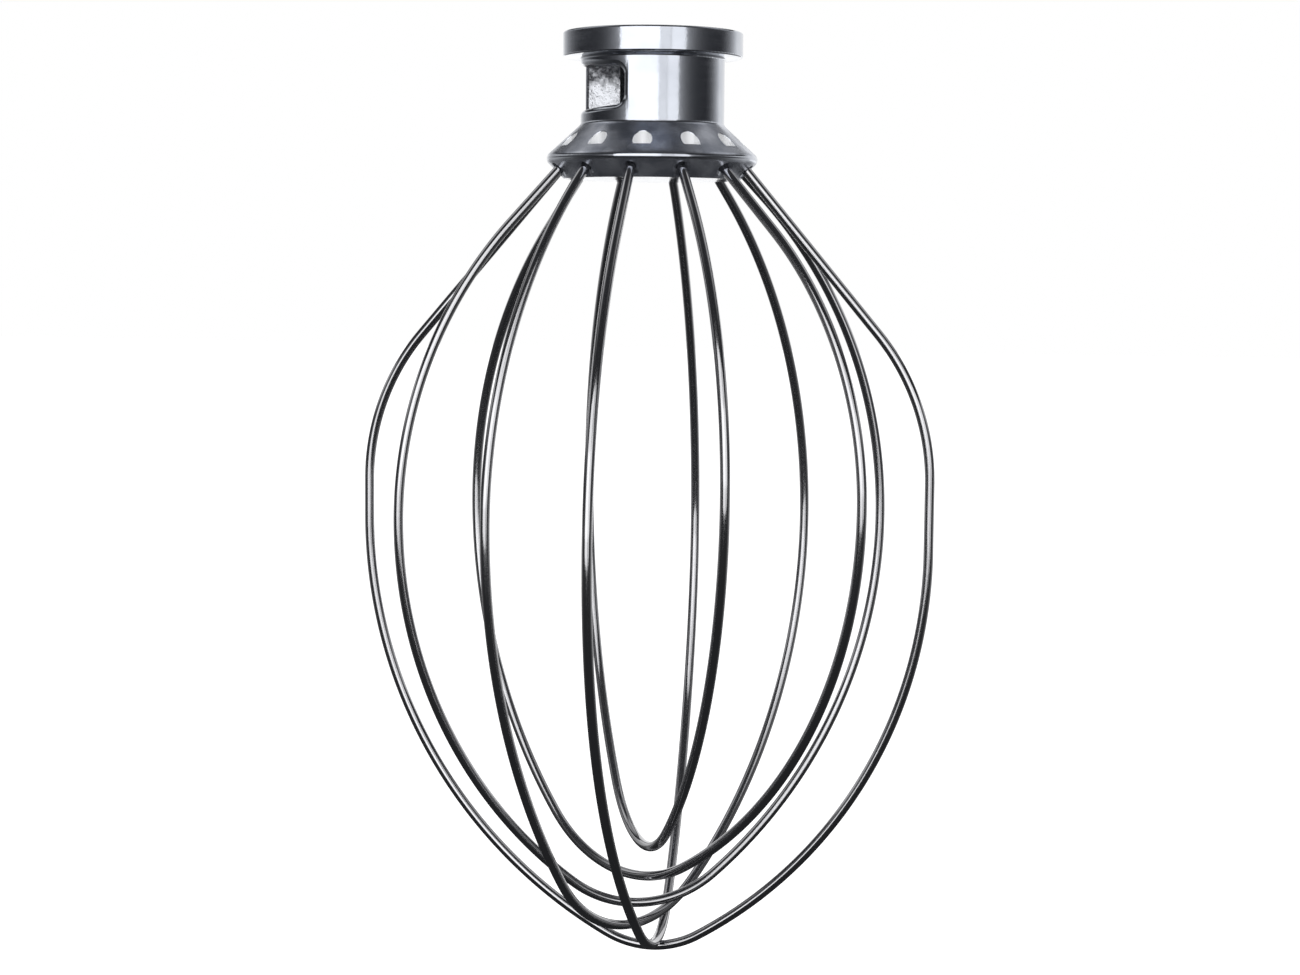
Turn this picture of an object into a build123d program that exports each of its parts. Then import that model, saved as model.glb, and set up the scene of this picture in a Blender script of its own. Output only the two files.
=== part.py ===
from build123d import *
import os
from math import atan2, cos, degrees, hypot, radians, sin, sqrt, tan

# Wire whisk head for a stand mixer, in millimetres.
# Six bent wire loops are staked into a cast hub, which slides over the mixer's shaft
# and is turned until the shaft's cross pin locks in the hub's slot.
# The origin is on the shaft's axis, at the height of the locked cross pin, with +Z up the shaft.
# loop_1 lies in the XZ plane, and the others are turned about the axis in equal steps.

# Mixer shaft and its cross pin
shaft_d = 12.7
shaft_clear = 0.15
pin_d = 4.8
pin_clear = 0.1
pin_side_clear = 0.3
pin_reach = 10.2

# Hub, with heights from the foot unless another start is named
foot_drop = 17.25         # from the pin's axis down to the foot
foot_r = 16.1
skirt_r = 19.8
skirt_h = 3.7
cone_h = 9.85
neck_r = 13.1
flange_r = 16.4
flange_slope = 0.2        # how much higher the underside is at its rim
flange_thick = 4.5
bore_floor = 5.0
lead_in = 0.6
foot_round = 0.4
skirt_round = 1.2
cone_round = 1.0
neck_round = 0.4
flange_round = 0.4
flange_foot_round = 0.35

# Bayonet slot, with angles from +X
slot_turn = -101.5        # closed end, where the pin locks
slot_taper_sweep = 42.0   # part of the slot that narrows towards the closed end
slot_sweep = 82.0
slot_sill_room = 1.8      # below the pin, at the closed end
slot_open_rise = 0.6      # extra room above and below at the wide end
slot_roof = 1.5           # from the wide end's top up to the flange's underside
slot_corner = 1.8
slot_round = 1.0          # along the slot's edges on the neck

# Wires and their holes
wire_d = 1.8
hole_clear = 0.06
hole_end_gap = 0.1
wire_grip = 5.5
wire_circle_r = 17.65     # where the wires' middles leave the skirt's bevel
loop_step = 30.0
sink_r = 1.75
sink_depth = 0.45

# Stakes that hold the wires: a round punch pressed straight down into the cone beside each wire
stake_r = 1.75
stake_depth = 0.8         # below the cone, at the punch's middle
stake_circle_r = 16.65
stake_turn = 6.5

# Loops: each arm's half width, how far below the foot it is widest, and its lead angle from upright.
# Depths are taken on the axis: the first from the foot, and the others by the gap to the loop outside.
basket_depth = 142.9
shoulder_r = 42.0

loop_1_half_plus = 51.9
loop_1_half_minus = 54.3
loop_1_widest_plus = 66.9
loop_1_widest_minus = 63.4
loop_1_lead_plus = 40.0
loop_1_lead_minus = 41.0
loop_1_tip_r = 17.8
loop_1_tip_shift = 0.9

loop_2_half_plus = 43.5
loop_2_half_minus = 47.4
loop_2_widest_plus = 66.6
loop_2_widest_minus = 64.4
loop_2_lead_plus = 40.5
loop_2_lead_minus = 40.5
loop_2_tip_r = 21.7
loop_2_tip_shift = 2.7
loop_2_gap = 0.15

loop_3_half_plus = 45.8
loop_3_half_minus = 41.9
loop_3_widest_plus = 64.4
loop_3_widest_minus = 61.2
loop_3_lead_plus = 43.0
loop_3_lead_minus = 41.5
loop_3_tip_r = 23.9
loop_3_tip_shift = -2.2
loop_3_gap = 1.0

loop_4_half_plus = 46.3
loop_4_half_minus = 47.1
loop_4_widest_plus = 62.5
loop_4_widest_minus = 61.5
loop_4_lead_plus = 44.5
loop_4_lead_minus = 42.5
loop_4_tip_r = 22.1
loop_4_tip_shift = -0.2
loop_4_gap = 1.6

loop_5_half_plus = 49.6
loop_5_half_minus = 46.2
loop_5_widest_plus = 57.0
loop_5_widest_minus = 61.4
loop_5_lead_plus = 46.5
loop_5_lead_minus = 41.0
loop_5_tip_r = 26.5
loop_5_tip_shift = -3.8
loop_5_gap = 3.2

loop_6_half_plus = 42.7
loop_6_half_minus = 39.9
loop_6_widest_plus = 54.4
loop_6_widest_minus = 56.5
loop_6_lead_plus = 43.0
loop_6_lead_minus = 41.0
loop_6_tip_r = 22.3
loop_6_tip_shift = -1.9
loop_6_gap = 4.0

# Sizes that follow from those above
bore_r = shaft_d / 2 + shaft_clear
key_width = pin_d + 2 * pin_side_clear
key_r = pin_reach + pin_side_clear
wire_r = wire_d / 2
hole_r = wire_r + hole_clear
foot_z = -foot_drop
skirt_z = foot_z + skirt_h
cone_z = foot_z + cone_h
slot_top = pin_d / 2 + pin_clear
slot_sill = pin_d / 2 + slot_sill_room
under_z = slot_top + slot_open_rise + slot_roof
rim_z = under_z + flange_slope
top_z = rim_z + flange_thick
floor_z = foot_z + bore_floor
entry_z = foot_z + skirt_h * (wire_circle_r - foot_r) / (skirt_r - foot_r)


def upright(angle):
    """Plane through the shaft's axis at an angle from +X: its x runs outwards and its y runs up."""
    a = radians(angle)
    return Plane(origin=(0, 0, 0), x_dir=(cos(a), sin(a), 0), z_dir=(sin(a), -cos(a), 0))


def along(angle, out, height):
    """Point at a distance out from the axis and a height, in the upright plane at that angle."""
    a = radians(angle)
    return Vector(out * cos(a), out * sin(a), height)


def rounded(section, out, height, radius):
    """Section with the corner nearest to a point rounded."""
    corner = section.vertices().sort_by_distance((out, height, 0))[0]
    return fillet(corner, radius)


def hub_body():
    """Turned shape of the hub with its blind shaft bore."""
    section = make_face(
        Polyline(
            (0, foot_z),
            (foot_r, foot_z),
            (skirt_r, skirt_z),
            (neck_r, cone_z),
            (neck_r, under_z),
            (flange_r, rim_z),
            (flange_r, top_z),
            (bore_r + lead_in, top_z),
            (bore_r, top_z - lead_in),
            (bore_r, floor_z),
            (0, floor_z),
            close=True,
        )
    )
    section = rounded(section, foot_r, foot_z, foot_round)
    section = rounded(section, skirt_r, skirt_z, skirt_round)
    section = rounded(section, neck_r, cone_z, cone_round)
    section = rounded(section, neck_r, under_z, neck_round)
    section = rounded(section, flange_r, rim_z, flange_foot_round)
    section = rounded(section, flange_r, top_z, flange_round)
    return revolve(upright(0) * section, Axis.Z)


def slot_face(angle, low, high):
    """Upright face across the neck's wall, as a section of the slot."""
    wide = flange_r - bore_r / 2
    middle = (flange_r + bore_r / 2) / 2
    return upright(angle) * Pos(middle, (low + high) / 2) * Rectangle(wide, high - low)


def slot_cut():
    """Room for the cross pin: a window in the neck that narrows to its closed end, and a groove down to it."""
    low, high = -slot_sill, slot_top
    wide_low, wide_high = low - slot_open_rise, high + slot_open_rise
    taper_end = slot_turn - slot_taper_sweep
    narrow = loft([slot_face(slot_turn, low, high), slot_face(taper_end, wide_low, wide_high)])
    ends = narrow.faces().sort_by_distance(along(slot_turn, (flange_r + bore_r / 2) / 2, 0))[0]
    level = [e for e in ends.edges() if abs((e @ 0).Z - (e @ 1).Z) < 1e-6]
    narrow = fillet(level, slot_corner)
    wide = revolve(slot_face(taper_end, wide_low, wide_high), -Axis.Z, revolution_arc=slot_sweep - slot_taper_sweep)
    groove_turn = slot_turn - slot_sweep + degrees(atan2(key_width / 2, (bore_r + key_r) / 2))
    groove = Box(key_r, key_width, top_z + slot_sill, align=(Align.MIN, Align.CENTER, Align.MIN))
    groove = Rot(0, 0, groove_turn) * Pos(0, 0, -slot_sill) * groove
    return narrow + wide + groove


def slot_rounded(body):
    """Hub with the slot's edges on the neck rounded, as far as the neck's own fillet leaves room."""
    low, high = -slot_sill - slot_open_rise, slot_top + slot_open_rise
    radius = min(slot_round, 0.95 * (slot_roof - neck_round))

    def on_neck(edge):
        points = [edge @ (step / 4) for step in range(5)]
        level = all(low - 0.01 < point.Z < high + 0.01 for point in points)
        return level and all(abs(hypot(point.X, point.Y) - neck_r) < 0.02 for point in points)

    return fillet(body.edges().filter_by(on_neck), radius)


def wire_hole(angle, lead):
    """Blind hole for one wire end, with a shallow sink around its mouth."""
    t = radians(lead)
    out = along(angle, sin(t), -cos(t))
    mouth = along(angle, wire_circle_r, entry_z)
    deep = wire_grip + hole_end_gap
    base = (Align.CENTER, Align.CENTER, Align.MIN)
    drill = Plane(origin=mouth - out * deep, z_dir=out) * Cylinder(hole_r, deep + skirt_h, align=base)
    flare = Plane(origin=mouth - out * sink_depth, z_dir=out) * Cone(hole_r, sink_r, sink_depth, align=base)
    clear = Plane(origin=mouth, z_dir=out) * Cylinder(sink_r, sink_depth, align=base)
    return drill + flare + clear


def stake_pit(angle):
    """Round punch that leaves one stake mark in the hub's cone beside a wire."""
    fall = (cone_z - skirt_z) / (skirt_r - neck_r) * (stake_circle_r - neck_r)
    punch = Cylinder(stake_r, fall + stake_depth, align=(Align.CENTER, Align.CENTER, Align.MIN))
    return Pos(*along(angle, stake_circle_r, cone_z - fall - stake_depth)) * punch


def arm_path(angle, half, widest, lead, tip_r, tip_shift, tip_z, bend_r=None):
    """Edges of one arm from its hole to where the tip's arc starts, as point lists.

    A lead line and an upright line are joined by one arc: the largest that fits, or the stated one.
    The belly's arc then runs from the widest point to the tip's arc, tangent to both.
    """
    t = radians(lead)
    widest_z = foot_z - widest
    knee_z = entry_z - (half - wire_circle_r) / tan(t)
    room = min((half - wire_circle_r) / sin(t), knee_z - widest_z)
    largest = room / tan(t / 2)
    bend = largest if bend_r is None else min(bend_r, largest)
    reach = bend * tan(t / 2)
    bend_z = knee_z - reach
    end = (wire_circle_r - wire_grip * sin(t), entry_z + wire_grip * cos(t))
    start = (half - reach * sin(t), knee_z + reach * cos(t))
    middle = (half - bend + bend * cos(t / 2), bend_z + bend * sin(t / 2))
    pieces = [[end, start], [start, middle, (half, bend_z)]]
    if bend_z - widest_z > 1e-6:
        pieces.append([(half, bend_z), (half, widest_z)])

    across = half - tip_shift
    drop = widest_z - tip_z - tip_r
    belly = (across ** 2 + drop ** 2 - tip_r ** 2) / (2 * (across - tip_r))
    centre = (half - belly, widest_z)
    turn = atan2(tip_z + tip_r - widest_z, tip_shift - centre[0])
    half_way = (centre[0] + belly * cos(turn / 2), widest_z + belly * sin(turn / 2))
    last = (centre[0] + belly * cos(turn), widest_z + belly * sin(turn))
    pieces.append([(half, widest_z), half_way, last])
    return [[along(angle, *point) for point in piece] for piece in pieces]


def edge_of(points):
    """Straight edge through two points, or an arc through three."""
    return Line(*points) if len(points) == 2 else ThreePointArc(*points)


def loop_body(angle, depth, plus, minus, tip_r, tip_shift, bend_r=None):
    """One wire loop: a round wire swept from the hole of its plus arm, round the tip, to the other hole."""
    tip_z = foot_z - depth - (tip_r - sqrt(tip_r ** 2 - tip_shift ** 2))
    down = arm_path(angle, *plus, tip_r, tip_shift, tip_z, bend_r)
    up = arm_path(angle + 180, *minus, tip_r, -tip_shift, tip_z, bend_r)
    tip = [down[-1][-1], along(angle, tip_shift, tip_z), up[-1][-1]]
    pieces = down + [tip] + [piece[::-1] for piece in up[::-1]]
    path = Wire([edge_of(points) for points in pieces])
    return sweep(Plane(origin=path @ 0, z_dir=path % 0) * Circle(wire_r), path=path)


# Loops from the outside in: their turn about the axis, and their depth on it
depth_1 = basket_depth
depth_2 = depth_1 - wire_d - loop_2_gap
depth_3 = depth_2 - wire_d - loop_3_gap
depth_4 = depth_3 - wire_d - loop_4_gap
depth_5 = depth_4 - wire_d - loop_5_gap
depth_6 = depth_5 - wire_d - loop_6_gap

turns = {
    "loop_1": 0,
    "loop_2": 3 * loop_step,
    "loop_3": 2 * loop_step,
    "loop_4": loop_step,
    "loop_5": -loop_step,
    "loop_6": -2 * loop_step,
}
plus_arms = {
    "loop_1": (loop_1_half_plus, loop_1_widest_plus, loop_1_lead_plus),
    "loop_2": (loop_2_half_plus, loop_2_widest_plus, loop_2_lead_plus),
    "loop_3": (loop_3_half_plus, loop_3_widest_plus, loop_3_lead_plus),
    "loop_4": (loop_4_half_plus, loop_4_widest_plus, loop_4_lead_plus),
    "loop_5": (loop_5_half_plus, loop_5_widest_plus, loop_5_lead_plus),
    "loop_6": (loop_6_half_plus, loop_6_widest_plus, loop_6_lead_plus),
}
minus_arms = {
    "loop_1": (loop_1_half_minus, loop_1_widest_minus, loop_1_lead_minus),
    "loop_2": (loop_2_half_minus, loop_2_widest_minus, loop_2_lead_minus),
    "loop_3": (loop_3_half_minus, loop_3_widest_minus, loop_3_lead_minus),
    "loop_4": (loop_4_half_minus, loop_4_widest_minus, loop_4_lead_minus),
    "loop_5": (loop_5_half_minus, loop_5_widest_minus, loop_5_lead_minus),
    "loop_6": (loop_6_half_minus, loop_6_widest_minus, loop_6_lead_minus),
}
tips = {
    "loop_1": (depth_1, loop_1_tip_r, loop_1_tip_shift),
    "loop_2": (depth_2, loop_2_tip_r, loop_2_tip_shift),
    "loop_3": (depth_3, loop_3_tip_r, loop_3_tip_shift),
    "loop_4": (depth_4, loop_4_tip_r, loop_4_tip_shift),
    "loop_5": (depth_5, loop_5_tip_r, loop_5_tip_shift),
    "loop_6": (depth_6, loop_6_tip_r, loop_6_tip_shift),
}

hub = slot_rounded(hub_body() - slot_cut())
for name, turn in turns.items():
    for angle, arm in ((turn, plus_arms[name]), (turn + 180, minus_arms[name])):
        hub -= wire_hole(angle, arm[2])
        hub -= stake_pit(angle + stake_turn)

os.makedirs("parts", exist_ok=True)
export_step(hub, "parts/hub.step")
for name, turn in turns.items():
    depth, tip_r, tip_shift = tips[name]
    bend_r = shoulder_r if name == "loop_1" else None
    loop = loop_body(turn, depth, plus_arms[name], minus_arms[name], tip_r, tip_shift, bend_r)
    export_step(loop, f"parts/{name}.step")
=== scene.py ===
import logging
import math
from dataclasses import dataclass, field
from enum import Enum
from typing import Any, Callable

import bmesh
import bpy
from mathutils import Matrix, Vector


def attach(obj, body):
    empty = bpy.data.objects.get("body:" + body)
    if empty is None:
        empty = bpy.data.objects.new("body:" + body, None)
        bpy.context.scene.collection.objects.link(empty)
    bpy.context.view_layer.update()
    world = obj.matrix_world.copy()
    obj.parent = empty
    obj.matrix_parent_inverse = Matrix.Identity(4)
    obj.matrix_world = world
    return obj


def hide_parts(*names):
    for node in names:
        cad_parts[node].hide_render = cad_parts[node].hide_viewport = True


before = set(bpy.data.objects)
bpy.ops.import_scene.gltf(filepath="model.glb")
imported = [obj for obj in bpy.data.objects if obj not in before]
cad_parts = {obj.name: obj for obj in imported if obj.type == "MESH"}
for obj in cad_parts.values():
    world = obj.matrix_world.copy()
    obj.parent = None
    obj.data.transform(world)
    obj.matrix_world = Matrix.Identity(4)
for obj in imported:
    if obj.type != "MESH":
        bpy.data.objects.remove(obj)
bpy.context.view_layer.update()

# Wire whisk head of a stand mixer: six bright wires staked in a cast hub, on a white studio ground.
# Sizes are in millimetres where a name says mm or a comment says so, and in metres elsewhere.

MM = 0.001
PLACE = "wire_place"

Point = tuple[float, float]                         # out from the shaft's axis, and up
Strip = tuple[float, float, list[Point]]            # part of a card: first and last bearing, and its profile
Shade = Callable[[float, float, float], float]      # a card's value by bearing, distance and height

log = logging.getLogger("whisk")


# ---------------------------------------------------------------- small helpers


def linear(hex_colour: str) -> tuple[float, float, float, float]:
    """Turn an sRGB hex colour into linear light.

    Args:
        hex_colour: six hex digits.

    Returns:
        Linear red, green and blue, with an alpha of 1.
    """
    parts = [int(hex_colour[i:i + 2], 16) / 255 for i in (0, 2, 4)]
    light = [c / 12.92 if c <= 0.04045 else ((c + 0.055) / 1.055) ** 2.4 for c in parts]
    return (light[0], light[1], light[2], 1.0)


def ramp(value: float, start: float, end: float) -> float:
    """Rise from 0 at the start to 1 at the end, and stay level outside."""
    return min(1.0, max(0.0, (value - start) / (end - start)))


def bell(bearing: float, middle: float, spread: float) -> float:
    """Fall off from 1 on both sides of a bearing, which counts alike to the left and to the right."""
    return math.exp(-((abs(bearing) - middle) / spread) ** 2)


def put(tree: bpy.types.NodeTree, kind: str, links: dict[str | int, Any] | None = None,
        **settings: Any) -> bpy.types.Node:
    """Add a node with its settings and its inputs.

    Args:
        tree: the tree that gets the node.
        kind: the node's type name.
        links: input name or number to an output socket or a plain value.
        settings: properties of the node.

    Returns:
        The new node.
    """
    node = tree.nodes.new(kind)
    for name, value in settings.items():
        setattr(node, name, value)
    for socket, value in (links or {}).items():
        if isinstance(value, bpy.types.NodeSocket):
            tree.links.new(value, node.inputs[socket])
        else:
            node.inputs[socket].default_value = value
    return node


def new_material(name: str) -> tuple[bpy.types.Material, bpy.types.NodeTree]:
    """Make an empty node material.

    Args:
        name: the material's name.

    Returns:
        The material and its tree.
    """
    material = bpy.data.materials.new(name)
    material.use_nodes = True
    material.node_tree.nodes.clear()
    return material, material.node_tree


def new_object(name: str, mesh: bpy.types.Mesh) -> bpy.types.Object:
    """Put a mesh in the scene at the origin.

    Args:
        name: the object's name.
        mesh: its mesh, already in place.

    Returns:
        The new object.
    """
    piece = bpy.data.objects.new(name, mesh)
    bpy.context.scene.collection.objects.link(piece)
    return piece


# ---------------------------------------------------------------- finishes


class Slot(Enum):
    """Material slots of the record."""

    HUB = "cast_hub"
    WIRE = "bright_wire"


@dataclass(frozen=True)
class DrawnSteel:
    """Stainless spring wire, cold drawn and left bright: a near mirror with fine lines along the wire."""

    colour: str = "CBCBCD"
    worn: str = "B6B6B9"
    roughness: tuple[float, float] = (0.07, 0.15)
    wear: tuple[float, float] = (0.12, 0.4)     # lines times smears, for the least and the most roughness
    line_mm: float = 0.16       # real draw lines are finer, and are drawn as coarse as they need to show
    line_run_mm: float = 22.0
    line_depth_mm: float = 0.001
    line_strength: float = 0.5
    line_detail: float = 2.0
    line_harshness: float = 0.6
    smear_mm: float = 9.0
    smear_detail: float = 3.0

    def material(self) -> bpy.types.Material:
        """Build the wire's material from its own lengthwise coordinates.

        Returns:
            The material.
        """
        material, tree = new_material("drawn_stainless_wire")
        place = put(tree, "ShaderNodeAttribute", attribute_name=PLACE)
        across = 1 / (self.line_mm * MM)
        along = 1 / (self.line_run_mm * MM)
        stretched = put(tree, "ShaderNodeVectorMath", {
            0: place.outputs["Vector"], 1: (across, across, along),
        }, operation="MULTIPLY")
        lines = put(tree, "ShaderNodeTexNoise", {
            "Vector": stretched.outputs[0], "Scale": 1.0,
            "Detail": self.line_detail, "Roughness": self.line_harshness,
        }).outputs["Fac"]
        here = put(tree, "ShaderNodeTexCoord")
        smear = put(tree, "ShaderNodeTexNoise", {
            "Vector": here.outputs["Object"], "Scale": 1 / (self.smear_mm * MM), "Detail": self.smear_detail,
        }).outputs["Fac"]
        worn = put(tree, "ShaderNodeMath", {0: lines, 1: smear}, operation="MULTIPLY")
        rough = put(tree, "ShaderNodeMapRange", {
            "Value": worn.outputs[0], "From Min": self.wear[0], "From Max": self.wear[1],
            "To Min": self.roughness[0], "To Max": self.roughness[1],
        })
        tone = put(tree, "ShaderNodeMix", {
            0: smear, 6: linear(self.colour), 7: linear(self.worn),
        }, data_type="RGBA")
        bump = put(tree, "ShaderNodeBump", {
            "Height": lines, "Distance": self.line_depth_mm * MM, "Strength": self.line_strength,
        })
        skin = put(tree, "ShaderNodeBsdfPrincipled", {
            "Base Color": tone.outputs[2], "Metallic": 1.0, "Roughness": rough.outputs["Result"],
            "Normal": bump.outputs["Normal"],
        })
        put(tree, "ShaderNodeOutputMaterial", {"Surface": skin.outputs["BSDF"]})
        return material


@dataclass(frozen=True)
class CastAluminium:
    """Die-cast aluminium: bright turned faces with fine marks, duller slopes as cast, and stake marks with a
    painted highlight.
    """

    # turned faces
    colour: str = "CDD1D9"
    shade: str = "B7BBC4"
    roughness: tuple[float, float] = (0.08, 0.16)
    wear: tuple[float, float] = (0.12, 0.4)     # waves times marks, for the least and the most roughness
    wave_mm: float = 4.5
    wave_depth_mm: float = 0.035
    wave_detail: float = 2.0
    grain_mm: float = 0.35
    grain_depth_mm: float = 0.010
    grain_strength: float = 0.6
    grain_detail: float = 3.0
    mark_mm: float = 0.30
    mark_stretch: float = 0.04      # scale of the turning marks around the axis against their scale along it
    mark_detail: float = 2.0
    # slopes of the cone and the skirt
    cast: str = "D6DAE4"
    cast_shade: str = "A0A5B1"
    cast_patch: tuple[float, float] = (0.36, 0.64)      # part of the wave between the two tones
    cast_roughness: float = 0.26
    cast_metal: float = 0.92        # the rest is a dull skin
    cast_from_mm: float = -6.6      # the cone and all below it are as cast
    cast_tilt: tuple[float, float] = (0.3, 0.55)        # upward or downward share of a normal that is a slope
    flat_tilt: tuple[float, float] = (0.97, 0.9)        # and that is too level to be one
    # stake marks, painted near white with less metal: a painted highlight of the light they reflect
    struck_painted_highlight: str = "F6F7F9"
    struck_roughness: float = 0.6
    struck_metal: float = 0.45
    struck_floor_mm: float = -12.2
    struck_sink_mm: tuple[float, float] = (0.06, 0.20)  # depth under the cone at a mark's edge, and well in it
    struck_out_mm: float = 0.9      # how far out from the neck the marks begin
    neck_mm: float = 13.1
    cone_top_mm: float = -7.4
    cone_fall: float = 6.15 / 6.7   # how far the cone falls for each step outwards
    # inside the slot, with painted shade above and below a middle band
    inner: str = "C4C6CB"
    inner_roughness: float = 0.26
    inner_grain_mm: float = 1.5
    inner_depth_mm: float = 0.22
    inner_detail: float = 4.0
    inner_harshness: float = 0.6
    slot_middle_mm: float = -0.9
    slot_half_mm: float = 4.3
    slot_edge_mm: float = 0.3
    slot_sink_mm: tuple[float, float] = (0.35, 0.9)     # depth under the neck at its edge, and well in it
    # painted shade: the slot's wall is darker above and below a middle band
    slot_painted_shade: str = "5A5B60"
    slot_painted_shade_roughness: float = 0.5
    slot_painted_shade_fade_mm: float = 1.6
    slot_painted_shade_stray_mm: float = 6.0
    unshaded_middle_mm: float = -2.1   # height of the unshaded band between the painted shade above and below
    unshaded_half_mm: float = 1.9
    blotch_mm: float = 1.1
    blotch_detail: float = 4.0
    blotch_harshness: float = 0.65
    blotch_span: tuple[float, float] = (0.38, 0.6)
    blotch_least: float = 0.25      # what is left of the painted shade between the blotches

    def slot_mask(self, tree: bpy.types.NodeTree, radius: bpy.types.NodeSocket,
                  height: bpy.types.NodeSocket) -> bpy.types.NodeSocket:
        """Find the faces inside the slot.

        Args:
            tree: the material's tree.
            radius: distance from the shaft's axis.
            height: height along it.

        Returns:
            A value of 1 inside the slot, and 0 elsewhere.
        """
        edge, deep = self.slot_sink_mm
        sunk = put(tree, "ShaderNodeMapRange", {
            "Value": radius, "From Min": (self.neck_mm - edge) * MM, "From Max": (self.neck_mm - deep) * MM,
        })
        off = put(tree, "ShaderNodeMath", {0: height, 1: self.slot_middle_mm * MM}, operation="SUBTRACT")
        away = put(tree, "ShaderNodeMath", {0: off.outputs[0]}, operation="ABSOLUTE")
        level = put(tree, "ShaderNodeMapRange", {
            "Value": away.outputs[0], "From Min": (self.slot_half_mm + self.slot_edge_mm) * MM,
            "From Max": self.slot_half_mm * MM,
        })
        return put(tree, "ShaderNodeMath", {
            0: sunk.outputs["Result"], 1: level.outputs["Result"],
        }, operation="MULTIPLY").outputs[0]

    def slope_mask(self, tree: bpy.types.NodeTree, height: bpy.types.NodeSocket) -> bpy.types.NodeSocket:
        """Find the slopes that are left as cast.

        Args:
            tree: the material's tree.
            height: height along the shaft's axis.

        Returns:
            A value of 1 on the slopes, and 0 elsewhere.
        """
        normal = put(tree, "ShaderNodeNewGeometry").outputs["Normal"]
        facing = put(tree, "ShaderNodeSeparateXYZ", {0: normal})
        tilt = put(tree, "ShaderNodeMath", {0: facing.outputs[2]}, operation="ABSOLUTE").outputs[0]
        tilted, level = [put(tree, "ShaderNodeMapRange", {
            "Value": tilt, "From Min": start, "From Max": end,
        }).outputs["Result"] for start, end in (self.cast_tilt, self.flat_tilt)]
        leaning = put(tree, "ShaderNodeMath", {0: tilted, 1: level}, operation="MULTIPLY")
        below = put(tree, "ShaderNodeMath", {0: height, 1: self.cast_from_mm * MM}, operation="LESS_THAN")
        return put(tree, "ShaderNodeMath", {
            0: leaning.outputs[0], 1: below.outputs[0],
        }, operation="MULTIPLY").outputs[0]

    def stake_mask(self, tree: bpy.types.NodeTree, radius: bpy.types.NodeSocket,
                   height: bpy.types.NodeSocket) -> bpy.types.NodeSocket:
        """Find the stake marks, which lie a little under the cone's own face, and take a painted highlight.

        Args:
            tree: the material's tree.
            radius: distance from the shaft's axis.
            height: height along it.

        Returns:
            A value of 1 in the marks, and 0 elsewhere.
        """
        line = put(tree, "ShaderNodeMath", {0: radius, 1: self.cone_fall, 2: height}, operation="MULTIPLY_ADD")
        face = self.cone_top_mm + self.cone_fall * self.neck_mm
        edge, deep = self.struck_sink_mm
        sunk = put(tree, "ShaderNodeMapRange", {
            "Value": line.outputs[0], "From Min": (face - edge) * MM, "From Max": (face - deep) * MM,
        })
        outer = put(tree, "ShaderNodeMath", {
            0: radius, 1: (self.neck_mm + self.struck_out_mm) * MM,
        }, operation="GREATER_THAN")
        above = put(tree, "ShaderNodeMath", {
            0: height, 1: self.struck_floor_mm * MM,
        }, operation="GREATER_THAN")
        band = put(tree, "ShaderNodeMath", {0: outer.outputs[0], 1: above.outputs[0]}, operation="MULTIPLY")
        return put(tree, "ShaderNodeMath", {
            0: sunk.outputs["Result"], 1: band.outputs[0],
        }, operation="MULTIPLY").outputs[0]

    def slot_painted_shade_mask(self, tree: bpy.types.NodeTree, here: bpy.types.NodeSocket, height: bpy.types.NodeSocket,
                     uneven: bpy.types.NodeSocket) -> bpy.types.NodeSocket:
        """Find where shade is painted in the slot, above and below a band left unshaded.

        Args:
            tree: the material's tree.
            here: object coordinates.
            height: height along the shaft's axis.
            uneven: the noise that makes the band's edges stray.

        Returns:
            How much shade is painted there, from 0 to 1.
        """
        strayed = put(tree, "ShaderNodeMath", {
            0: uneven, 1: self.slot_painted_shade_stray_mm * MM, 2: height,
        }, operation="MULTIPLY_ADD")
        middle = self.unshaded_middle_mm + self.slot_painted_shade_stray_mm / 2
        apart = put(tree, "ShaderNodeMath", {0: strayed.outputs[0], 1: middle * MM}, operation="SUBTRACT")
        aside = put(tree, "ShaderNodeMath", {0: apart.outputs[0]}, operation="ABSOLUTE")
        left = put(tree, "ShaderNodeMapRange", {
            "Value": aside.outputs[0], "From Min": self.unshaded_half_mm * MM,
            "From Max": (self.unshaded_half_mm + self.slot_painted_shade_fade_mm) * MM,
        })
        blotch = put(tree, "ShaderNodeTexNoise", {
            "Vector": here, "Scale": 1 / (self.blotch_mm * MM),
            "Detail": self.blotch_detail, "Roughness": self.blotch_harshness,
        })
        cover = put(tree, "ShaderNodeMapRange", {
            "Value": blotch.outputs["Fac"], "From Min": self.blotch_span[0], "From Max": self.blotch_span[1],
            "To Min": self.blotch_least, "To Max": 1.0,
        })
        return put(tree, "ShaderNodeMath", {
            0: left.outputs["Result"], 1: cover.outputs["Result"],
        }, operation="MULTIPLY").outputs[0]

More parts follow.
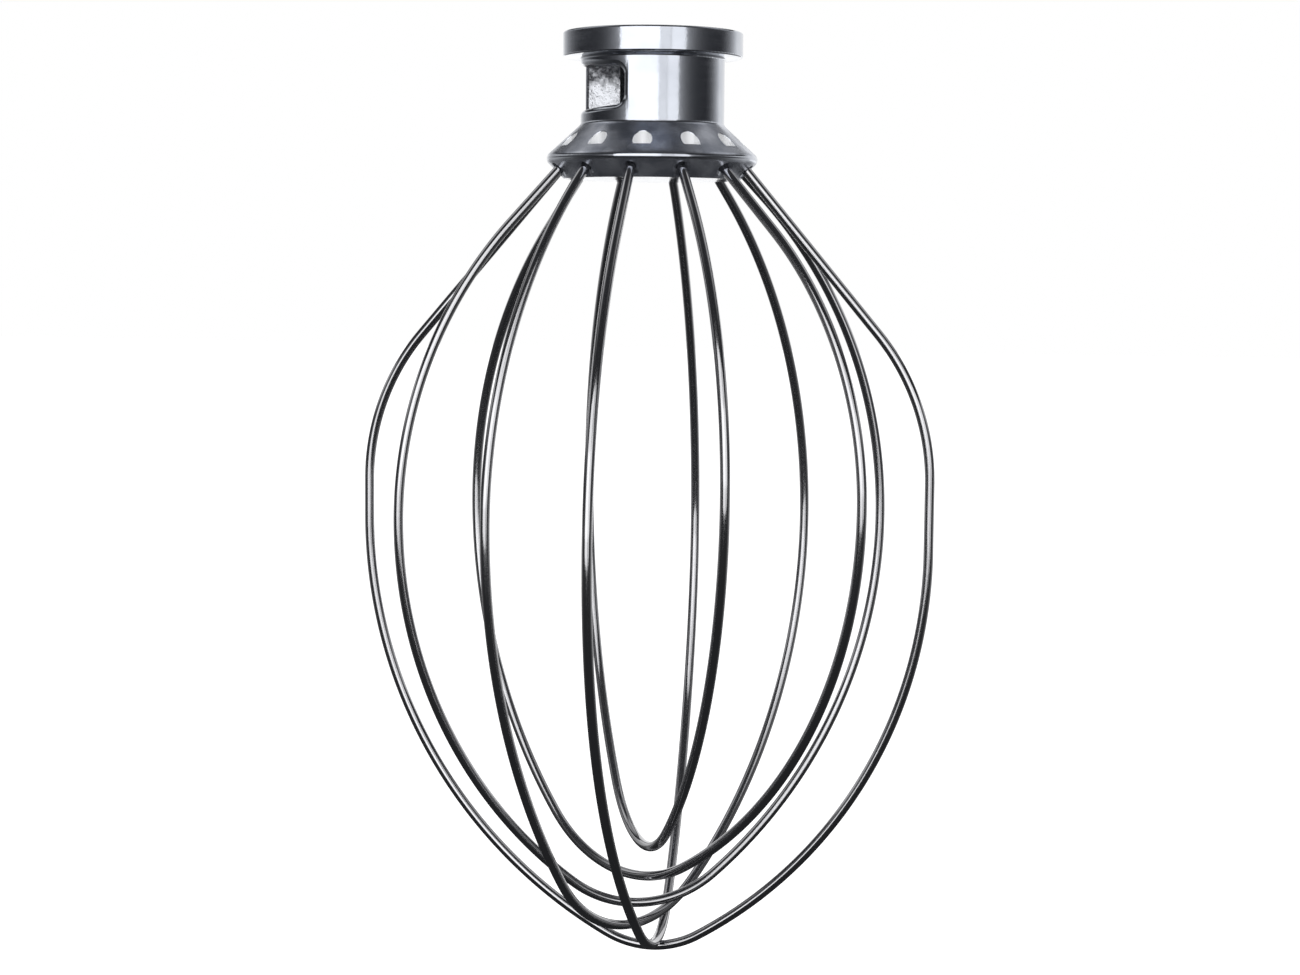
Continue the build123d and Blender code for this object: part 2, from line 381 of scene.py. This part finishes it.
    def material(self) -> bpy.types.Material:
        """Build the hub's material on object coordinates.

        Returns:
            The material.
        """
        material, tree = new_material("tumbled_cast_aluminium")
        here = put(tree, "ShaderNodeTexCoord").outputs["Object"]
        split = put(tree, "ShaderNodeSeparateXYZ", {0: here})
        height = split.outputs[2]
        flat = put(tree, "ShaderNodeCombineXYZ", {0: split.outputs[0], 1: split.outputs[1]})
        radius = put(tree, "ShaderNodeVectorMath", {0: flat.outputs[0]}, operation="LENGTH").outputs["Value"]
        wave, grain = [put(tree, "ShaderNodeTexNoise", {
            "Vector": here, "Scale": 1 / (size * MM), "Detail": detail,
        }).outputs["Fac"] for size, detail in (
            (self.wave_mm, self.wave_detail), (self.grain_mm, self.grain_detail),
        )]
        along = 1 / (self.mark_mm * MM)
        turned = put(tree, "ShaderNodeVectorMath", {
            0: here, 1: (self.mark_stretch * along, self.mark_stretch * along, along),
        }, operation="MULTIPLY")
        marks = put(tree, "ShaderNodeTexNoise", {
            "Vector": turned.outputs[0], "Scale": 1.0, "Detail": self.mark_detail,
        })
        uneven = put(tree, "ShaderNodeTexNoise", {
            "Vector": here, "Scale": 1 / (self.inner_grain_mm * MM),
            "Detail": self.inner_detail, "Roughness": self.inner_harshness,
        }).outputs["Fac"]

        inside = self.slot_mask(tree, radius, height)
        slope = self.slope_mask(tree, height)
        struck_painted_highlight = self.stake_mask(tree, radius, height)
        # the slot's painted shade, darker above and below its middle
        slot_painted_shade = self.slot_painted_shade_mask(tree, here, height, uneven)

        worn = put(tree, "ShaderNodeMath", {0: wave, 1: marks.outputs["Fac"]}, operation="MULTIPLY")
        rough_turned = put(tree, "ShaderNodeMapRange", {
            "Value": worn.outputs[0], "From Min": self.wear[0], "From Max": self.wear[1],
            "To Min": self.roughness[0], "To Max": self.roughness[1],
        })
        rough_inner = put(tree, "ShaderNodeMix", {
            0: slot_painted_shade, 2: self.inner_roughness, 3: self.slot_painted_shade_roughness,
        }, data_type="FLOAT")
        patchy = put(tree, "ShaderNodeMapRange", {
            "Value": wave, "From Min": self.cast_patch[0], "From Max": self.cast_patch[1],
        })
        tone_turned, tone_inner, tone_cast = [put(tree, "ShaderNodeMix", {
            0: share, 6: linear(first), 7: linear(second),
        }, data_type="RGBA").outputs[2] for share, first, second in (
            (wave, self.colour, self.shade), (slot_painted_shade, self.inner, self.slot_painted_shade),
            (patchy.outputs["Result"], self.cast, self.cast_shade),
        )]

        # Each finish takes over from the ones before it where its mask is 1; the stake marks get a painted
        # highlight, and the slot painted shade.
        rough, tone, metal = rough_turned.outputs["Result"], tone_turned, 1.0
        for mask, value in ((slope, self.cast_roughness), (struck_painted_highlight, self.struck_roughness),
                            (inside, rough_inner.outputs[0])):
            rough = put(tree, "ShaderNodeMix", {0: mask, 2: rough, 3: value}, data_type="FLOAT").outputs[0]
        for mask, value in ((slope, tone_cast), (struck_painted_highlight, linear(self.struck_painted_highlight)), (inside, tone_inner)):
            tone = put(tree, "ShaderNodeMix", {0: mask, 6: tone, 7: value}, data_type="RGBA").outputs[2]
        for mask, value in ((slope, self.cast_metal), (struck_painted_highlight, self.struck_metal)):
            metal = put(tree, "ShaderNodeMix", {0: mask, 2: metal, 3: value}, data_type="FLOAT").outputs[0]

        swell = put(tree, "ShaderNodeBump", {
            "Height": wave, "Distance": self.wave_depth_mm * MM, "Strength": 1.0,
        })
        fine = put(tree, "ShaderNodeBump", {
            "Height": grain, "Distance": self.grain_depth_mm * MM, "Strength": self.grain_strength,
            "Normal": swell.outputs["Normal"],
        })
        pits = put(tree, "ShaderNodeMath", {0: uneven, 1: inside}, operation="MULTIPLY")
        pitted = put(tree, "ShaderNodeBump", {
            "Height": pits.outputs[0], "Distance": self.inner_depth_mm * MM, "Strength": 1.0,
            "Normal": fine.outputs["Normal"],
        })
        skin = put(tree, "ShaderNodeBsdfPrincipled", {
            "Base Color": tone, "Metallic": metal, "Roughness": rough, "Normal": pitted.outputs["Normal"],
        })
        put(tree, "ShaderNodeOutputMaterial", {"Surface": skin.outputs["BSDF"]})
        return material


# ---------------------------------------------------------------- wires


@dataclass(frozen=True)
class WireArm:
    """One arm of a loop: half width and depth of the widest point in mm, and lead from upright in degrees."""

    half: float
    widest: float
    lead: float


@dataclass(frozen=True)
class WireLoop:
    """One bent wire, in mm and degrees: its turn about the shaft, its arms, its tip and the gap outside it."""

    node: str
    turn: float
    plus: WireArm
    minus: WireArm
    tip_r: float
    tip_shift: float
    gap: float = 0.0
    bend_r: float = math.inf
    lean: float = 0.0           # how far the tip is bent out of the loop's plane


@dataclass
class WireBasket:
    """The six nested loops, in mm, on the same rule as the CAD wires apart from loop_2's bent tip."""

    wire_d: float = 1.8
    sides: int = 26
    step: float = 0.55
    fewest_steps: int = 4
    same_point: float = 1e-6        # points closer than this are one
    foot_z: float = -17.25
    foot_r: float = 16.1
    skirt_r: float = 19.8
    skirt_h: float = 3.7
    entry_r: float = 17.65
    grip: float = 5.5
    depth: float = 142.9
    lean_power: int = 3             # the lean grows as this power of the way from the belly to the tip
    finish: DrawnSteel = field(default_factory=DrawnSteel)
    loops: tuple[WireLoop, ...] = (
        WireLoop("loop_1", 0, WireArm(51.9, 66.9, 40.0), WireArm(54.3, 63.4, 41.0), 17.8, 0.9, bend_r=42.0),
        WireLoop("loop_2", 90, WireArm(43.5, 66.6, 40.5), WireArm(47.4, 64.4, 40.5), 18.0, -3.3, 0.26,
                 lean=2.8),
        WireLoop("loop_3", 60, WireArm(45.8, 64.4, 43.0), WireArm(41.9, 61.2, 41.5), 23.9, -2.2, 0.89),
        WireLoop("loop_4", 30, WireArm(46.3, 62.5, 44.5), WireArm(47.1, 61.5, 42.5), 22.1, -0.2, 1.6),
        WireLoop("loop_5", -30, WireArm(49.6, 57.0, 46.5), WireArm(46.2, 61.4, 41.0), 26.5, -3.8, 3.2),
        WireLoop("loop_6", -60, WireArm(42.7, 54.4, 43.0), WireArm(39.9, 56.5, 41.0), 22.3, -1.9, 4.0),
    )

    def arc(self, centre: Point, radius: float, start: float, end: float) -> list[Point]:
        """Points along an arc.

        Args:
            centre: the arc's centre, out and up.
            radius: its radius.
            start: its first angle in radians.
            end: its last angle.

        Returns:
            The points, both ends included.
        """
        count = max(self.fewest_steps, math.ceil(abs(end - start) * radius / self.step))
        turns = [start + (end - start) * i / count for i in range(count + 1)]
        return [(centre[0] + radius * math.cos(a), centre[1] + radius * math.sin(a)) for a in turns]

    def arm(self, arm: WireArm, tip_r: float, tip_shift: float, tip_z: float, bend_r: float) -> list[Point]:
        """Centreline of one arm, from its end in the hub to the bottom of the tip's arc.

        Args:
            arm: the arm's sizes.
            tip_r: radius of the tip's arc.
            tip_shift: how far out the arc's middle is.
            tip_z: height of the arc's lowest point.
            bend_r: the largest shoulder radius.

        Returns:
            Points out from the shaft's axis and up.
        """
        lead = math.radians(arm.lead)
        entry_z = self.foot_z + self.skirt_h * (self.entry_r - self.foot_r) / (self.skirt_r - self.foot_r)
        widest_z = self.foot_z - arm.widest
        knee_z = entry_z - (arm.half - self.entry_r) / math.tan(lead)
        room = min((arm.half - self.entry_r) / math.sin(lead), knee_z - widest_z)
        bend = min(bend_r, room / math.tan(lead / 2))
        bend_z = knee_z - bend * math.tan(lead / 2)
        end = (self.entry_r - self.grip * math.sin(lead), entry_z + self.grip * math.cos(lead))
        across = arm.half - tip_shift
        drop = widest_z - tip_z - tip_r
        belly = (across ** 2 + drop ** 2 - tip_r ** 2) / (2 * (across - tip_r))
        turn = math.atan2(tip_z + tip_r - widest_z, tip_shift - arm.half + belly)
        first = 0 if bend_z - widest_z > self.same_point else 1
        points = [end]
        points += self.arc((arm.half - bend, bend_z), bend, lead, 0.0)
        points += self.arc((arm.half - belly, widest_z), belly, 0.0, turn)[first:]
        points += self.arc((tip_shift, tip_z + tip_r), tip_r, turn, -math.pi / 2)[1:]
        return points

    def centreline(self, loop: WireLoop, depth: float) -> list[Vector]:
        """Centreline of a whole loop.

        Args:
            loop: the loop's sizes.
            depth: how far below the foot it crosses the axis.

        Returns:
            Points in metres, in the row's frame.
        """
        tip_z = self.foot_z - depth - (loop.tip_r - math.sqrt(loop.tip_r ** 2 - loop.tip_shift ** 2))
        down = self.arm(loop.plus, loop.tip_r, loop.tip_shift, tip_z, loop.bend_r)
        up = self.arm(loop.minus, loop.tip_r, -loop.tip_shift, tip_z, loop.bend_r)
        flat = down + [(-out, rise) for out, rise in reversed(up[:-1])]
        turn = math.radians(loop.turn)
        top = self.foot_z - max(loop.plus.widest, loop.minus.widest)
        line = []
        for out, rise in flat:
            aside = loop.lean * max(0.0, (top - rise) / (top - tip_z)) ** self.lean_power
            x = out * math.cos(turn) + aside * math.sin(turn)
            y = out * math.sin(turn) - aside * math.cos(turn)
            line.append(Vector((x, y, rise)) * MM)
        return line

    def tree(self) -> bpy.types.GeometryNodeTree:
        """Geometry nodes that draw a wire along a line of edges and keep each point's place on the wire.

        Returns:
            The node group.
        """
        tree = bpy.data.node_groups.new("wire_along_a_line", "GeometryNodeTree")
        for name, kind in (("Geometry", "NodeSocketGeometry"), ("Diameter", "NodeSocketFloat"),
                           ("Sides", "NodeSocketInt"), ("Step", "NodeSocketFloat"),
                           ("Material", "NodeSocketMaterial")):
            tree.interface.new_socket(name, in_out="INPUT", socket_type=kind)
        tree.interface.new_socket("Geometry", in_out="OUTPUT", socket_type="NodeSocketGeometry")
        sizes = put(tree, "NodeGroupInput").outputs
        line = put(tree, "GeometryNodeMeshToCurve", {"Mesh": sizes["Geometry"]})
        even = put(tree, "GeometryNodeResampleCurve", {
            "Curve": line.outputs[0], "Length": sizes["Step"],
        }, mode="LENGTH")
        run = put(tree, "GeometryNodeSplineParameter")
        kept_run = put(tree, "GeometryNodeCaptureAttribute", domain="POINT")
        kept_run.capture_items.new("FLOAT", "Run")
        tree.links.new(even.outputs[0], kept_run.inputs[0])
        tree.links.new(run.outputs["Length"], kept_run.inputs["Run"])
        radius = put(tree, "ShaderNodeMath", {0: sizes["Diameter"], 1: 0.5}, operation="MULTIPLY")
        ring = put(tree, "GeometryNodeCurvePrimitiveCircle", {
            "Resolution": sizes["Sides"], "Radius": radius.outputs[0],
        }, mode="RADIUS")
        spot = put(tree, "GeometryNodeInputPosition")
        kept_ring = put(tree, "GeometryNodeCaptureAttribute", domain="POINT")
        kept_ring.capture_items.new("VECTOR", "Ring")
        tree.links.new(ring.outputs["Curve"], kept_ring.inputs[0])
        tree.links.new(spot.outputs[0], kept_ring.inputs["Ring"])
        wire = put(tree, "GeometryNodeCurveToMesh", {
            "Curve": kept_run.outputs[0], "Profile Curve": kept_ring.outputs[0], "Fill Caps": True,
        })
        parts = put(tree, "ShaderNodeSeparateXYZ", {0: kept_ring.outputs["Ring"]})
        place = put(tree, "ShaderNodeCombineXYZ", {
            0: parts.outputs[0], 1: parts.outputs[1], 2: kept_run.outputs["Run"],
        })
        named = put(tree, "GeometryNodeStoreNamedAttribute", {
            "Geometry": wire.outputs[0], "Name": PLACE, "Value": place.outputs[0],
        }, data_type="FLOAT_VECTOR", domain="POINT")
        smooth = put(tree, "GeometryNodeSetShadeSmooth", {"Geometry": named.outputs[0], "Shade Smooth": True})
        real = put(tree, "GeometryNodeRealizeInstances", {"Geometry": smooth.outputs[0]})
        dressed = put(tree, "GeometryNodeSetMaterial", {
            "Geometry": real.outputs[0], "Material": sizes["Material"],
        })
        put(tree, "NodeGroupOutput", {"Geometry": dressed.outputs[0]})
        return tree

    def build(self) -> list[bpy.types.Object]:
        """Returns:
            The wires, from the outside in.
        """
        tree = self.tree()
        inputs = {item.name: item.identifier for item in tree.interface.items_tree if item.in_out == "INPUT"}
        material = self.finish.material()
        depth = self.depth
        pieces = []
        for place, loop in enumerate(self.loops):
            depth -= (self.wire_d + loop.gap) if place else 0.0
            points = self.centreline(loop, depth)
            line = bpy.data.meshes.new(loop.node + "_line")
            line.from_pydata(points, [(i, i + 1) for i in range(len(points) - 1)], [])
            host = new_object(loop.node + "_host", line)
            nodes = host.modifiers.new("wire", "NODES")
            nodes.node_group = tree
            nodes[inputs["Diameter"]] = self.wire_d * MM
            nodes[inputs["Sides"]] = self.sides
            nodes[inputs["Step"]] = self.step * MM
            nodes[inputs["Material"]] = material
            seen = host.evaluated_get(bpy.context.evaluated_depsgraph_get())
            mesh = bpy.data.meshes.new_from_object(seen)
            bpy.data.objects.remove(host)
            mesh.name = loop.node + "_wire"
            piece = new_object(loop.node + "_wire", mesh)
            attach(piece, "root")
            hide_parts(loop.node)
            log.info("%s: %d faces, depth %.2f mm", piece.name, len(mesh.polygons), depth)
            pieces.append(piece)
        return pieces


# ---------------------------------------------------------------- hub


@dataclass
class CastHub:
    """The one-piece hub: a welded copy of the CAD shape, with its rounded faces shaded smooth."""

    node: str = "hub"
    weld_mm: float = 0.0005
    sharp_degrees: float = 32.0
    large_face_weight: int = 80
    finish: CastAluminium = field(default_factory=CastAluminium)

    def build(self) -> bpy.types.Object:
        """Returns:
            The hub.
        """
        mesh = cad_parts[self.node].data.copy()
        shape = bmesh.new()
        shape.from_mesh(mesh)
        bmesh.ops.remove_doubles(shape, verts=shape.verts, dist=self.weld_mm * MM)
        limit = math.radians(self.sharp_degrees)
        for face in shape.faces:
            face.smooth = True
        for edge in shape.edges:
            edge.smooth = edge.is_manifold and edge.calc_face_angle(0.0) < limit
        shape.to_mesh(mesh)
        shape.free()
        mesh.materials.clear()
        mesh.materials.append(self.finish.material())
        host = new_object("hub_host", mesh)
        normals = host.modifiers.new("large faces lead", "WEIGHTED_NORMAL")
        normals.mode = "FACE_AREA_WITH_ANGLE"
        normals.weight = self.large_face_weight
        normals.keep_sharp = True
        seen = host.evaluated_get(bpy.context.evaluated_depsgraph_get())
        mesh = bpy.data.meshes.new_from_object(seen)
        mesh.name = "cast_hub"
        bpy.data.objects.remove(host)
        piece = new_object("cast_hub", mesh)
        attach(piece, "root")
        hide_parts(self.node)
        log.info("%s: %d faces", piece.name, len(mesh.polygons))
        return piece


# ---------------------------------------------------------------- studio


@dataclass(frozen=True)
class Softbox:
    """A flat light in the camera's frame, in metres: where its middle is, its size and its brightness."""

    name: str
    right: float
    near: float
    up: float
    wide: float
    high: float
    brightness: float


@dataclass
class Studio:
    """Camera, lamps, white ground and dark cards, laid out from the camera's bearing.

    Bearings are in degrees from the camera's side, positive to the right. A pair of distances or heights
    says where something starts and where it is complete.
    """

    # camera
    bearing: float = 12.53          # of the camera about the shaft, in degrees
    pitch: float = 5.219
    roll: float = 0.541
    stand: tuple[float, float, float] = (-0.00020, -0.45585, -0.03215)
    lens: float = 68.50
    sensor: float = 36.0
    nearest: float = 0.01
    # white ground
    plain_level: float = 0.6        # of the world, for rays that light the whisk
    floor_z: float = -0.262
    floor_size: float = 12.0
    floor_glow: float = 0.72
    floor_colour: str = "F2F2F2"
    # cards
    card_r: float = 4.0
    card_low: float = -0.235
    card_high: float = 1.3
    card_step: float = 5.0          # degrees between two columns of a card's points
    wall_colour: str = "404145"
    wall_rows: tuple[float, ...] = (0.4, 0.7, 1.0)
    fade_left: tuple[float, float] = (100.0, 165.0)     # bearings where the wall starts to fade and ends
    fade_right: tuple[float, float] = (93.0, 135.0)
    roof_colour: str = "454649"
    roof_rows: tuple[float, ...] = (2.5, 2.1, 1.7, 1.3, 0.9, 0.5, 0.0)
    roof_back: float = 2.8          # how far behind the whisk the roof goes
    base_colour: str = "363739"
    base_rows: tuple[float, ...] = (0.0, 0.1, 0.2, 0.3, 0.45, 0.7, 1.0)     # shares of the way back
    base_back: float = 1.3          # how far behind the whisk the base goes
    base_fade: float = 0.4          # how far the base fades at most
    base_fade_out: tuple[float, float] = (0.4, 1.3)
    # light on the wall beside the softboxes
    spill: float = 0.36             # its level at the bearing in the next line
    spill_edge: float = 45.0
    spill_run: float = 11.0         # degrees in which it falls to about a third
    spill_top: float = 0.45         # its highest level
    # light high up, at the sides and behind
    upper_right: float = 0.65
    upper_left: float = 0.7
    upper_bearing: float = 112.0
    upper_spread: float = 28.0
    upper_rise: tuple[float, float] = (0.4, 0.85)       # heights on the wall
    upper_back: float = 0.5
    upper_back_bearing: float = 180.0
    upper_back_spread: float = 30.0
    upper_near: tuple[float, float] = (0.5, 0.9)        # distances on the roof, from the whisk outwards
    upper_far: tuple[float, float] = (2.4, 1.8)         # and from its rim inwards
    # light of the white ground on the base behind the whisk
    bounce_right: float = 0.42
    bounce_left: float = 0.16
    bounce_bearing: float = 130.0
    bounce_spread: float = 40.0
    bounce_out: tuple[float, float] = (0.15, 0.75)
    boxes: tuple[Softbox, ...] = (
        Softbox("softbox_left", -0.367, 1.0, 0.1675, 1.068, 0.935, 1.40),
        Softbox("softbox_middle", 0.297, 1.0, 0.1675, 0.234, 0.935, 0.75),
        Softbox("softbox_right", 0.664, 1.0, 0.1675, 0.472, 0.935, 0.95),
    )

    def turned(self) -> Matrix:
        """Turn from the camera's frame, right, away and up, to the row's frame."""
        return Matrix.Rotation(math.radians(self.bearing), 3, "Z")

    def camera(self) -> None:
        """Set the camera where the photograph was taken from."""
        p, r = math.radians(self.pitch), math.radians(self.roll)
        right = Vector((math.cos(r), 0, math.sin(r)))
        up = Vector((-math.sin(r) * math.cos(p), math.sin(p), math.cos(r) * math.cos(p)))
        turn = self.turned()
        axes = Matrix((turn @ right, turn @ up, turn @ right.cross(up))).transposed()
        data = bpy.data.cameras.new("camera")
        data.sensor_fit = "HORIZONTAL"
        data.sensor_width = self.sensor
        data.lens = self.lens
        data.clip_start = self.nearest
        camera = bpy.data.objects.new("camera", data)
        camera.matrix_world = Matrix.Translation(turn @ Vector(self.stand)) @ axes.to_4x4()
        bpy.context.scene.collection.objects.link(camera)
        bpy.context.scene.camera = camera

    def lamps(self) -> None:
        """Hang the soft lights behind the camera, facing the whisk."""
        turn = self.turned().to_4x4()
        upright = Matrix.Rotation(math.pi / 2, 4, "X")
        for box in self.boxes:
            data = bpy.data.lights.new(box.name, "AREA")
            data.shape = "RECTANGLE"
            data.size = box.wide
            data.size_y = box.high
            data.energy = box.brightness * math.pi * box.wide * box.high
            lamp = bpy.data.objects.new(box.name, data)
            lamp.matrix_world = turn @ Matrix.Translation((box.right, -box.near, box.up)) @ upright
            lamp.visible_camera = False
            bpy.context.scene.collection.objects.link(lamp)

    def ground_light(self, tree: bpy.types.NodeTree) -> bpy.types.NodeSocket:
        """Find which rays see the white ground.

        Args:
            tree: the tree that asks.

        Returns:
            A value of 1 for camera, glossy and transmission rays, and 0 for others.
        """
        rays = put(tree, "ShaderNodeLightPath").outputs
        seen = rays["Is Camera Ray"]
        for name in ("Is Glossy Ray", "Is Transmission Ray"):
            seen = put(tree, "ShaderNodeMath", {0: seen, 1: rays[name]}, operation="MAXIMUM").outputs[0]
        return seen

    def world(self) -> None:
        """White ground all round, at a plain level for other rays."""
        world = bpy.data.worlds.new("white_ground")
        world.use_nodes = True
        tree = world.node_tree
        tree.nodes.clear()
        level = put(tree, "ShaderNodeMapRange", {
            "Value": self.ground_light(tree), "To Min": self.plain_level, "To Max": 1.0,
        })
        white = put(tree, "ShaderNodeBackground", {
            "Color": (1.0, 1.0, 1.0, 1.0), "Strength": level.outputs["Result"],
        })
        put(tree, "ShaderNodeOutputWorld", {"Surface": white.outputs[0]})
        bpy.context.scene.world = world

    def floor(self) -> None:
        """Lay a pale floor that renders white and still takes the whisk's soft shadow."""
        half = self.floor_size / 2
        mesh = bpy.data.meshes.new("floor")
        corners = [(x * half, y * half, self.floor_z) for x, y in ((-1, -1), (1, -1), (1, 1), (-1, 1))]
        mesh.from_pydata(corners, [], [(0, 1, 2, 3)])
        material, tree = new_material("pale_floor")
        matt = put(tree, "ShaderNodeBsdfDiffuse", {"Color": linear(self.floor_colour)})
        level = put(tree, "ShaderNodeMath", {
            0: self.ground_light(tree), 1: self.floor_glow,
        }, operation="MULTIPLY")
        glow = put(tree, "ShaderNodeEmission", {"Strength": level.outputs[0]})
        both = put(tree, "ShaderNodeAddShader", {0: matt.outputs[0], 1: glow.outputs[0]})
        put(tree, "ShaderNodeOutputMaterial", {"Surface": both.outputs[0]})
        mesh.materials.append(material)
        new_object("floor", mesh)

    def upper_light(self, bearing: float) -> float:
        """Light high up at the sides, by bearing."""
        side = self.upper_right if bearing > 0 else self.upper_left
        return side * bell(bearing, self.upper_bearing, self.upper_spread)

    def wall_clear(self, bearing: float, out: float, up: float) -> float:
        """How far the wall has faded at a bearing: 0 where it is whole and 1 where it ends."""
        return ramp(abs(bearing), *(self.fade_right if bearing > 0 else self.fade_left)) ** 2

    def wall_glow(self, bearing: float, out: float, up: float) -> float:
        """Light of the softboxes on the wall beside them, and light that grows towards the wall's top."""
        beside = min(self.spill_top, self.spill * math.exp((self.spill_edge - abs(bearing)) / self.spill_run))
        return beside + self.upper_light(bearing) * ramp(up, *self.upper_rise)

    def roof_clear(self, bearing: float, out: float, up: float) -> float:
        """The roof is whole."""
        return 0.0

    def roof_glow(self, bearing: float, out: float, up: float) -> float:
        """Light on the roof at the sides and behind, away from the whisk."""
        behind = self.upper_back * bell(bearing, self.upper_back_bearing, self.upper_back_spread)
        return (self.upper_light(bearing) + behind) * ramp(out, *self.upper_near) * ramp(out, *self.upper_far)

    def base_clear(self, bearing: float, out: float, up: float) -> float:
        """How far the base has faded behind the whisk."""
        return self.base_fade * max(0.0, -math.cos(math.radians(bearing))) * ramp(out, *self.base_fade_out)

    def base_glow(self, bearing: float, out: float, up: float) -> float:
        """Light of the white ground on the base, behind the whisk on both sides."""
        side = self.bounce_right if bearing > 0 else self.bounce_left
        return side * bell(bearing, self.bounce_bearing, self.bounce_spread) * ramp(out, *self.bounce_out)

    def card(self, name: str, colour: str, strips: list[Strip], clear: Shade, glow: Shade) -> None:
        """Stand one dark card that only reflections see.

        Args:
            name: the card's name.
            colour: its sRGB hex colour.
            strips: parts of it, each from one bearing to another in degrees, along points out and up.
            clear: how far it has faded, by bearing, distance and height.
            glow: how much light it gives besides, by bearing, distance and height.
        """
        points, faces, gone, lit = [], [], [], []
        turn = self.turned()
        for start, end, profile in strips:
            count = max(2, round(abs(end - start) / self.card_step))
            bearings = [start + (end - start) * i / count for i in range(count + 1)]
            around = [b if b <= 180 else b - 360 for b in bearings]
            ways = [Vector((math.sin(math.radians(b)), -math.cos(math.radians(b)), 0.0)) for b in bearings]
            first = len(points)
            for out, up in profile:
                points += [turn @ (way * out + Vector((0.0, 0.0, up))) for way in ways]
                gone += [clear(b, out, up) for b in around]
                lit += [glow(b, out, up) for b in around]
            for row in range(len(profile) - 1):
                low = first + row * (count + 1)
                high = low + count + 1
                faces += [(low + i, low + i + 1, high + i + 1, high + i) for i in range(count)]
        mesh = bpy.data.meshes.new(name)
        mesh.from_pydata(points, [], faces)
        mesh.attributes.new("clear", "FLOAT", "POINT").data.foreach_set("value", gone)
        mesh.attributes.new("glow", "FLOAT", "POINT").data.foreach_set("value", lit)
        material, tree = new_material(name)
        matt = put(tree, "ShaderNodeBsdfDiffuse", {"Color": linear(colour)})
        level = put(tree, "ShaderNodeAttribute", attribute_name="glow")
        light = put(tree, "ShaderNodeEmission", {"Strength": level.outputs["Fac"]})
        whole = put(tree, "ShaderNodeAddShader", {0: matt.outputs[0], 1: light.outputs[0]})
        gap = put(tree, "ShaderNodeBsdfTransparent")
        share = put(tree, "ShaderNodeAttribute", attribute_name="clear")
        both = put(tree, "ShaderNodeMixShader", {
            0: share.outputs["Fac"], 1: whole.outputs[0], 2: gap.outputs[0],
        })
        put(tree, "ShaderNodeOutputMaterial", {"Surface": both.outputs[0]})
        mesh.materials.append(material)
        piece = new_object(name, mesh)
        for rays in ("visible_camera", "visible_diffuse", "visible_transmission", "visible_shadow"):
            setattr(piece, rays, False)

    def cards(self) -> None:
        """Close the studio with dark cards, and leave a white window behind the whisk."""
        far, low, high = self.card_r, self.card_low, self.card_high
        left, right = -self.fade_left[1], self.fade_right[1]
        rise = [(far, up) for up in (low, *self.wall_rows, high)]
        self.card("dark_wall", self.wall_colour, [(left, right, rise)], self.wall_clear, self.wall_glow)
        reach = [(out, high) for out in self.roof_rows]
        self.card("grey_roof", self.roof_colour, [
            (left, right, [(far, high)] + reach),
            (right, left + 360, [(self.roof_back, high)] + reach),
        ], self.roof_clear, self.roof_glow)
        steps = [(self.base_back * share, low) for share in self.base_rows]
        self.card("dark_base", self.base_colour, [
            (left, right, steps + [(far, low)]),
            (right, left + 360, steps),
        ], self.base_clear, self.base_glow)

    def build(self) -> None:
        """Build the whole studio."""
        self.camera()
        self.lamps()
        self.world()
        self.floor()
        self.cards()
        bpy.context.scene.view_settings.view_transform = "Standard"
        log.info("studio: %d lamps", len(self.boxes))


def main() -> None:
    """Build the studio, the hub and the wires, and note the sizes."""
    logging.basicConfig(level=logging.INFO, format="%(name)s: %(message)s")
    Studio().build()
    CastHub().build()
    WireBasket().build()


if __name__ == "__main__":
    main()
